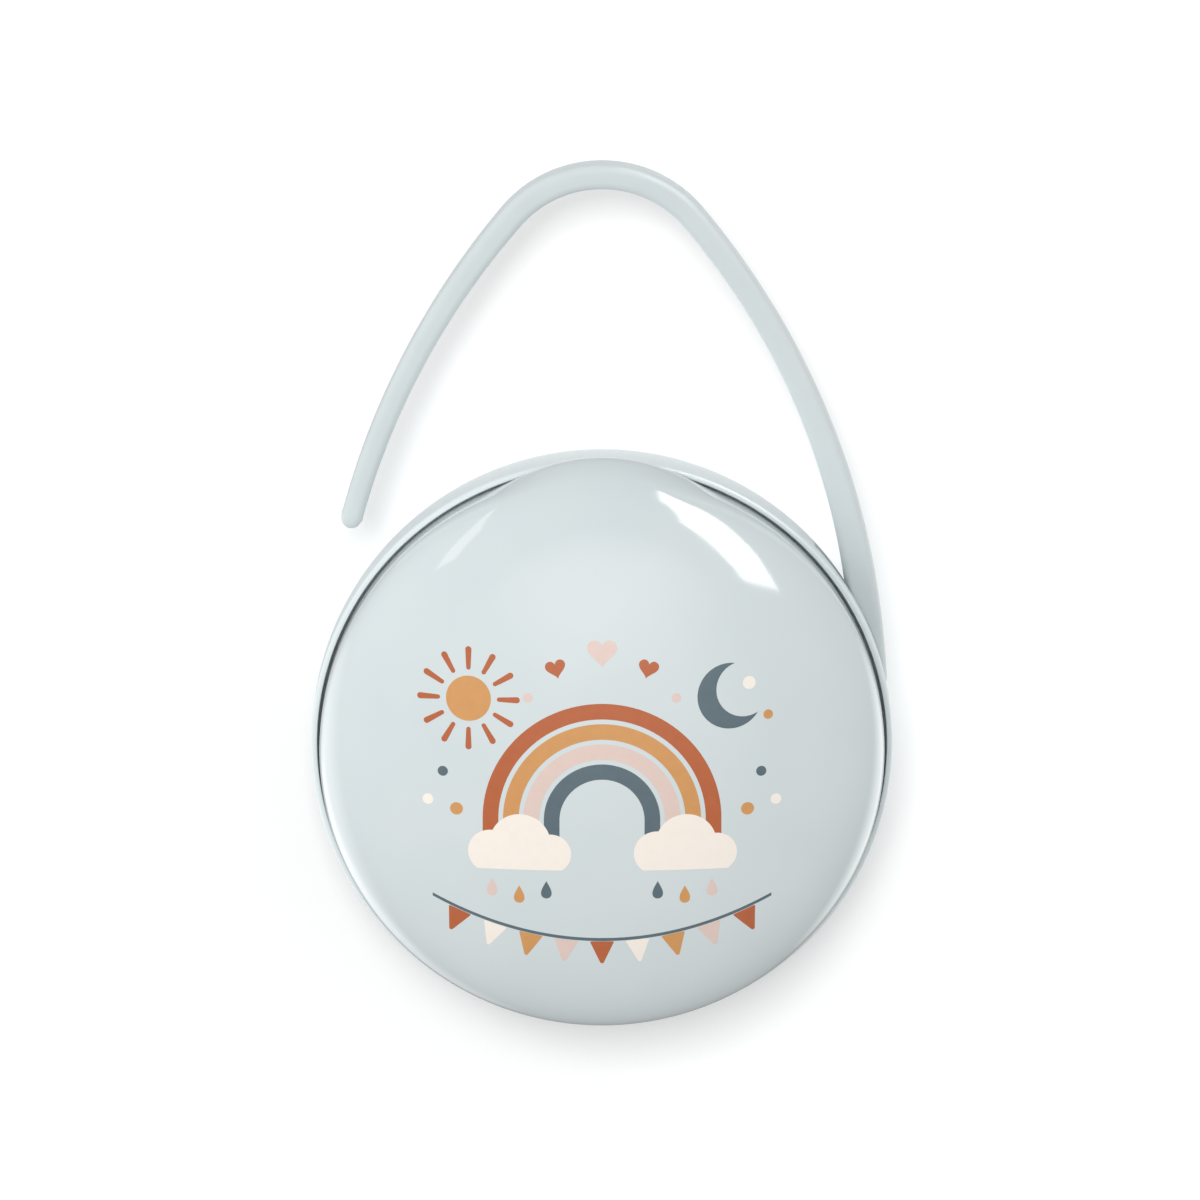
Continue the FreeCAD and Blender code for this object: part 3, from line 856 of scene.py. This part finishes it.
def ray():
    return arcPoints((0, 1.3), 0.45, 0, 180, 12) + arcPoints((0, -1.3), 0.32, 180, 360, 12)


def heart():
    turns = np.linspace(0, 2 * math.pi, 72, endpoint=False)
    across = np.sin(turns) ** 3
    up = (13 * np.cos(turns) - 5 * np.cos(2 * turns) - 2 * np.cos(3 * turns) - np.cos(4 * turns)) / 16
    return list(zip(across, up))


def rainDrop():
    turns = np.linspace(0, 2 * math.pi, 56, endpoint=False)
    return list(zip(0.78 * np.sin(turns) * np.sin(turns / 2) ** 1.4, np.cos(turns)))


def crescent():
    # the part of a disc that a smaller disc leaves
    bite, shift = 0.84, 0.46
    crossX = (1 - bite ** 2 + shift ** 2) / (2 * shift)
    crossY = math.sqrt(1 - crossX ** 2)
    outer = math.degrees(math.atan2(crossY, crossX))
    inner = math.degrees(math.atan2(crossY, crossX - shift))
    hollow = arcPoints((shift, 0), bite, 360 - inner, inner, 50)
    return arcPoints((0, 0), 1, outer, 360 - outer, 60) + hollow[1:-1]


def cloud():
    # three puffs on a flat base, drawn from the middle outwards
    puffs = ((-0.52, 0.0, 0.42), (0.02, 0.18, 0.56), (0.58, -0.02, 0.38))
    base = -0.34
    outline = []
    for turn in np.linspace(0, 2 * math.pi, 360, endpoint=False):
        way = np.array((math.cos(turn), math.sin(turn)))
        reach = 0
        for x, y, radius in puffs:
            along = way @ (x, y)
            inside = radius ** 2 - (x * x + y * y - along ** 2)
            if inside > 0:
                reach = max(reach, along + math.sqrt(inside))
        if way[1] < 0:
            foot = base / way[1]
            flat = puffs[0][0] <= way[0] * foot <= puffs[-1][0]
            reach = foot if flat else min(reach, foot)
        outline.append(tuple(way * reach))
    return outline


def flag():
    return rounded([(-0.5, 0.0, 0.04), (0.0, -1.15, 0.08), (0.5, 0.0, 0.04)])


def archBand(radius):
    wide = rainbow["stroke"] / 2
    down = -rainbow["leg"]
    outer, inner = radius + wide, radius - wide
    outline = [(outer, down)] + arcPoints((0, 0), outer, 0, 180, 60) + [(-outer, down)]
    outline += [(-inner, down)] + arcPoints((0, 0), inner, 180, 0, 60) + [(inner, down)]
    return outline


def garlandLevel(x):
    return garland["low"] + garland["sag"] * (x / garland["half"]) ** 2


def garlandString():
    wide = garland["string"] / 2
    places = np.linspace(-garland["half"], garland["half"], 80)
    return ([(x, garlandLevel(x) + wide) for x in places]
            + [(x, garlandLevel(x) - wide) for x in reversed(places)])


motifs = {"disc": disc, "ray": ray, "heart": heart, "rainDrop": rainDrop, "crescent": crescent,
          "cloud": cloud, "flag": flag, "string": garlandString}
bands = ("Rust", "Ochre", "Blush", "Slate")
for place, ink in enumerate(bands):
    motifs["arch" + ink] = lambda radius=rainbow["outer"] - place * rainbow["step"]: archBand(radius)


def printMarks():
    # (motif, x, y, size, turn in degrees) for each ink
    marks = {ink: [] for ink in inks}
    for ink in bands:
        marks[ink].append(("arch" + ink, rainbow["x"], rainbow["y"], 1, 0))
    for side in (-1, 1):
        marks["Cream"].append(("cloud", side * 12.2, -11.6, 8.0, 0))
        for ink, x, y in (("Slate", 8.2, -17.4), ("Ochre", 12.2, -18.2), ("Blush", 16.2, -17.2)):
            marks[ink].append(("rainDrop", side * x, y, 1.4, 0))
        marks["Rust"].append(("heart", side * 6.8, 16.2, 1.5, -side * 14))
        marks["Blush"].append(("disc", side * 10.9, 11.8, 0.7, 0))
        marks["Slate"].append(("disc", side * 23.4, 0.4, 0.75, 0))
        marks["Ochre"].append(("disc", side * 21.4, -5.2, 0.95, 0))
        marks["Cream"].append(("disc", side * 25.6, -4.0, 0.8, 0))
    marks["Blush"].append(("heart", 0.0, 18.6, 2.2, 0))
    marks["Ochre"].append(("disc", sun["x"], sun["y"], sun["radius"], 0))
    for turn in np.arange(sun["rays"]) * 360 / sun["rays"]:
        x, y = arcPoints((sun["x"], sun["y"]), sun["rayReach"], turn + 90, turn + 90, 1)[0]
        marks["Rust"].append(("ray", x, y, 1, turn))
    marks["Slate"].append(("crescent", 18.8, 11.8, 4.8, 25))
    marks["Cream"].append(("disc", 21.6, 13.6, 0.95, 0))
    marks["Ochre"].append(("disc", 24.4, 8.8, 0.7, 0))
    marks["Slate"].append(("string", 0, 0, 1, 0))
    spacing = 2 * garland["half"] / (garland["flags"] + 0.6)
    hang = garland["string"] / 2 + 0.05
    for place in range(garland["flags"]):
        x = (place - (garland["flags"] - 1) / 2) * spacing
        lean = math.atan(2 * garland["sag"] * x / garland["half"] ** 2)
        ink = ("Rust", "Cream", "Ochre", "Blush")[place % 4]
        marks[ink].append(("flag", x + hang * math.sin(lean), garlandLevel(x) - hang * math.cos(lean),
                           garland["flagSize"], math.degrees(lean)))
    return marks


def makeFilm(lift):
    # a thin closed skin on the dome, which the motifs are cut from
    count = int(2 * film["reach"] / film["cell"])
    shape = bmesh.new()
    bmesh.ops.create_grid(shape, x_segments=count, y_segments=count, size=film["reach"] * mm)
    far = [vert for vert in shape.verts if vert.co.xy.length > film["reach"] * mm]
    bmesh.ops.delete(shape, geom=far, context="VERTS")
    for vert in shape.verts:
        vert.co.z = (domeLevel(vert.co.x / mm, vert.co.y / mm) + lift) * mm
    grown = bmesh.ops.extrude_face_region(shape, geom=shape.faces[:])
    for item in grown["geom"]:
        if isinstance(item, bmesh.types.BMVert):
            item.co.z -= film["depth"] * mm
    bmesh.ops.recalc_face_normals(shape, faces=shape.faces)
    mesh = bpy.data.meshes.new("film")
    shape.to_mesh(mesh)
    shape.free()
    skin = bpy.data.objects.new("film", mesh)
    scene.collection.objects.link(skin)
    return skin


markColumns = {"kind": "INT", "size": "FLOAT", "turn": "FLOAT"}


def makePrintTree():
    tree = bpy.data.node_groups.new("printMotifs", "GeometryNodeTree")
    sockets = {}
    inputs = {"Marks": "Geometry", "Motifs": "Collection", "Film": "Object", "Ink": "Material"}
    for name, kind in inputs.items():
        socket = tree.interface.new_socket(name, in_out="INPUT", socket_type="NodeSocket" + kind)
        sockets[name] = socket.identifier
    tree.interface.new_socket("Print", in_out="OUTPUT", socket_type="NodeSocketGeometry")
    given = addNode(tree, "NodeGroupInput").outputs
    read = {}
    for name, kind in markColumns.items():
        column = addNode(tree, "GeometryNodeInputNamedAttribute", {"data_type": kind}, {"Name": name})
        read[name] = column.outputs[0]
    shapes = addNode(tree, "GeometryNodeCollectionInfo", {},
                     {"Separate Children": True, "Reset Children": True}, {"Collection": given["Motifs"]})
    turn = addNode(tree, "ShaderNodeCombineXYZ", links={"Z": read["turn"]})
    rotation = addNode(tree, "FunctionNodeEulerToRotation", links={"Euler": turn.outputs[0]})
    scale = addNode(tree, "ShaderNodeCombineXYZ", values={"Z": 1.0},
                    links={"X": read["size"], "Y": read["size"]})
    laid = addNode(tree, "GeometryNodeInstanceOnPoints", values={"Pick Instance": True}, links={
        "Points": given["Marks"], "Instance": shapes.outputs["Instances"], "Instance Index": read["kind"],
        "Rotation": rotation.outputs["Rotation"], "Scale": scale.outputs[0]})
    real = addNode(tree, "GeometryNodeRealizeInstances", links={"Geometry": laid.outputs["Instances"]})
    skin = addNode(tree, "GeometryNodeObjectInfo", links={"Object": given["Film"]})
    cutOut = addNode(tree, "GeometryNodeMeshBoolean", {"operation": "INTERSECT", "solver": "MANIFOLD"})
    for source in (skin.outputs["Geometry"], real.outputs["Geometry"]):
        tree.links.new(source, cutOut.inputs["Mesh 2"])
    whole = addNode(tree, "GeometryNodeRealizeInstances", links={"Geometry": cutOut.outputs["Mesh"]})
    inked = addNode(tree, "GeometryNodeSetMaterial", links={"Geometry": whole.outputs["Geometry"],
                                                            "Material": given["Ink"]})
    addNode(tree, "NodeGroupOutput", links={"Print": inked.outputs["Geometry"]})
    return tree, sockets


def makePrint():
    tree, sockets = makePrintTree()
    shelf = bpy.data.collections.new("motifs")
    order = sorted(motifs)
    for kind in order:
        cutter = prism(kind, motifs[kind](), domeZ, lidTop + 5)
        scene.collection.objects.unlink(cutter)
        shelf.objects.link(cutter)
    scene.collection.children.link(shelf)
    layers = []
    skins = {lift: makeFilm(film[lift]) for lift in ("lift", "overLift")}
    for ink, marks in printMarks().items():
        layer = newPiece("print" + ink, [(x, y, 0) for _, x, y, _, _ in marks], [])
        columns = {"kind": [order.index(mark[0]) for mark in marks],
                   "size": [mark[3] for mark in marks],
                   "turn": [math.radians(mark[4]) for mark in marks]}
        for name, kind in markColumns.items():
            layer.data.attributes.new(name, kind, "POINT").data.foreach_set("value", columns[name])
        laying = layer.modifiers.new("print", "NODES")
        laying.node_group = tree
        skin = skins["overLift" if ink == "Cream" else "lift"]
        material = padPrintInk("padPrint" + ink, *inks[ink])
        for socket, value in (("Motifs", shelf), ("Film", skin), ("Ink", material)):
            laying[sockets[socket]] = value
        settle(layer)
        shade(layer, film["sharpAngle"])
        layers.append(layer)
    for helper in list(shelf.objects) + list(skins.values()):
        drop(helper)
    bpy.data.collections.remove(shelf)
    return layers


printLayers = makePrint()
for layer in printLayers:
    print("%s: %d faces" % (layer.name, len(layer.data.polygons)))


# which body carries each piece, and what it stands for

for piece, body, node, slot in (
    (lidShell, "lid", "front_lid", "shell_plastic"),
    (ringBand, "base", "rim_ring", "shell_plastic"),
    (backBowl, "base", "back_cover", "shell_plastic"),
    (strapArch, "carry_strap", "strap", "strap_plastic"),
    (hingePin, "base", "hinge_pin", "pin_steel"),
    (strapPin, "base", "strap_pin", "pin_steel"),
):
    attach(piece, body)
    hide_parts(node)
for layer in printLayers:
    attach(layer, "lid")
print("pieces ride on their bodies")


# studio: a white sweep, two soft lights, a glowing room, and cards that only the gloss sees

studio = {
    "tilt": 13.0,              # the camera leans over the case from its lip's side
    "distance": 1500.0,
    "target": (-0.296, 22.08, 26.5),
    "frameWidth": 177.8,
    "floorHalf": 3000.0,
    "floorDrop": 0.02,         # keeps the paper clear of the back's flat
    "floorColour": ("#F8F8F8", "#FBFBFB"),
    "fibreMm": 30,             # the paper's cloudiness, drawn coarse enough to show
    # bearing and rise in degrees from the case; the window lights the case and the soft box lights the floor
    "window": {"bearing": 182, "rise": 55, "distance": 1500, "wide": 1500, "high": 750, "radiance": 3.35},
    "softBox": {"bearing": 103, "rise": 71, "distance": 4000, "wide": 1150, "high": 1150, "radiance": 18.0},
    # the room's glow: a direction, where the glow starts and is full, and how bright it is
    "diffuseGlows": (
        ((-1, 0, 0), 0, 1, 0.76),
        ((1, 0, 0), 0, 1, 1.08),
        ((0, 1, 0), 0, 1, 0.66),
        ((0, -1, 0), 0, 1, 0.03),
        ((0, 0, 1), 0, 1, 0.26),
        ((0, 0, -1), 0, 1, 0.58),
    ),
    "glossGlows": (
        ((0, 0, 1), -1.1, -1, 0.22),
        ((0, 0.35, 0.94), -0.5, 0.2, 0.22),
        ((0, 0.23, 0.97), 0.80, 0.99, 0.75),
        ((0, 0.45, 0.89), 0.90, 0.995, 1.1),
        ((-0.8, -0.35, -0.48), 0.85, 0.98, 1.8),
        ((0.7, -0.35, -0.63), 0.90, 0.985, 1.9),
        ((-0.52, -0.58, -0.63), 0.91, 0.985, 1.0),
        ((0, 0.05, -1), 0.95, 0.995, 0.9),
    ),
    "cardDistance": 800.0,
    # how bright each card is, and its corners as bearing and rise
    "cards": {
        "rightCard": (9.0, ((72, -12), (73, 2), (68, 22), (43, 39), (35, 27), (59, -1))),
        "leftCard": (3.0, ((117, -17), (123, 11), (133, 23.5), (139, 19.5), (126.5, 4))),
    },
}


def wayOf(bearing, rise):
    across, up = math.radians(bearing), math.radians(rise)
    return Vector((math.cos(up) * math.cos(across), math.cos(up) * math.sin(across), math.sin(up)))


def whitePaper():
    # a seamless paper sweep, matt and white, and clear from below so that the back can be looked at
    material, tree, shader, place = newMaterial("whitePaper", Roughness=0.9)
    fibre = addNode(tree, "ShaderNodeTexNoise", values={"Scale": perMetre(studio["fibreMm"])},
                    links={"Vector": place})
    dark, light = studio["floorColour"]
    colour = addNode(tree, "ShaderNodeMix", {"data_type": "RGBA"}, {6: linear(dark), 7: linear(light)},
                     {0: fibre.outputs["Fac"]})
    tree.links.new(colour.outputs[2], shader.inputs["Base Color"])
    below = addNode(tree, "ShaderNodeNewGeometry").outputs["Backfacing"]
    clear = addNode(tree, "ShaderNodeBsdfTransparent").outputs["BSDF"]
    mixed = addNode(tree, "ShaderNodeMixShader", links={0: below, 1: shader.outputs["BSDF"], 2: clear})
    tree.links.new(mixed.outputs["Shader"], tree.nodes["Material Output"].inputs["Surface"])
    return material


def makeFloor():
    half = studio["floorHalf"]
    level = -studio["floorDrop"]
    corners = [(-half, -half, level), (half, -half, level), (half, half, level), (-half, half, level)]
    floor = newPiece("floor", corners, [(0, 1, 2, 3)])
    floor.data.materials.append(whitePaper())
    floor.visible_diffuse = False
    floor.visible_glossy = False
    floor.visible_shadow = False
    return floor


def makeLight(name, litPieces):
    # a soft light that falls on some pieces only
    look = studio[name]
    data = bpy.data.lights.new(name, "AREA")
    data.shape = "RECTANGLE"
    data.size = look["wide"] * mm
    data.size_y = look["high"] * mm
    data.energy = look["radiance"] * math.pi * data.size * data.size_y
    light = bpy.data.objects.new(name, data)
    scene.collection.objects.link(light)
    way = wayOf(look["bearing"], look["rise"])
    light.location = way * look["distance"] * mm
    light.rotation_euler = way.to_track_quat("Z", "Y").to_euler()
    light.visible_camera = False
    light.visible_glossy = False
    lit = bpy.data.collections.new(name + "Lit")
    for piece in litPieces:
        lit.objects.link(piece)
    light.light_linking.receiver_collection = lit


def glowingCard(radiance):
    material = bpy.data.materials.new("glowingCard")
    material.use_nodes = True
    tree = material.node_tree
    glow = addNode(tree, "ShaderNodeEmission", values={"Strength": radiance})
    tree.links.new(glow.outputs["Emission"], tree.nodes["Material Output"].inputs["Surface"])
    return material


def makeCards():
    for name, (radiance, corners) in studio["cards"].items():
        ways = [wayOf(*corner) for corner in corners]
        middle = sum(ways, Vector()).normalized()
        points = [way * studio["cardDistance"] / way.dot(middle) for way in ways]
        card = newPiece(name, points, [tuple(range(len(points)))])
        card.data.materials.append(glowingCard(radiance))
        card.visible_camera = False
        card.visible_diffuse = False
        card.visible_shadow = False


def makeWorld():
    world = bpy.data.worlds.new("studio")
    world.use_nodes = True
    world.cycles.sampling_method = "NONE"
    tree = world.node_tree
    way = addNode(tree, "ShaderNodeTexCoord").outputs["Generated"]

    def glowSum(glows):
        total = None
        for axis, start, end, level in glows:
            along = addNode(tree, "ShaderNodeVectorMath", {"operation": "DOT_PRODUCT"},
                            {1: Vector(axis).normalized()}, {0: way})
            glow = addNode(tree, "ShaderNodeMapRange", {}, {1: start, 2: end, 4: level},
                           {0: along.outputs["Value"]}).outputs[0]
            if total is None:
                total = glow
                continue
            both = addNode(tree, "ShaderNodeMath", {"operation": "ADD"}, links={0: total, 1: glow})
            total = both.outputs[0]
        return total

    diffuse = glowSum(studio["diffuseGlows"])
    gloss = glowSum(studio["glossGlows"])
    path = addNode(tree, "ShaderNodeLightPath").outputs
    seen = addNode(tree, "ShaderNodeMix", links={0: path["Is Glossy Ray"], 2: diffuse, 3: gloss})
    shown = addNode(tree, "ShaderNodeMix", values={3: 1.0},
                    links={0: path["Is Camera Ray"], 2: seen.outputs[0]})
    background = tree.nodes["Background"]
    background.inputs["Color"].default_value = (1, 1, 1, 1)
    tree.links.new(shown.outputs[0], background.inputs["Strength"])
    scene.world = world


def makeCamera():
    data = bpy.data.cameras.new("camera")
    data.sensor_fit = "HORIZONTAL"
    data.sensor_width = 36.0
    data.lens = data.sensor_width * studio["distance"] / studio["frameWidth"]
    data.clip_end = 10
    camera = bpy.data.objects.new("camera", data)
    scene.collection.objects.link(camera)
    lean = math.radians(studio["tilt"])
    away = Vector((0, math.sin(lean), math.cos(lean)))
    camera.location = (Vector(studio["target"]) + away * studio["distance"]) * mm
    camera.rotation_euler = (-lean, 0, 0)
    scene.camera = camera


makeLight("softBox", [makeFloor()])
makeLight("window", [lidShell, ringBand, backBowl, strapArch, hingePin, strapPin, *printLayers])
makeCards()
makeWorld()
makeCamera()
scene.view_settings.view_transform = "Standard"
print("studio made")
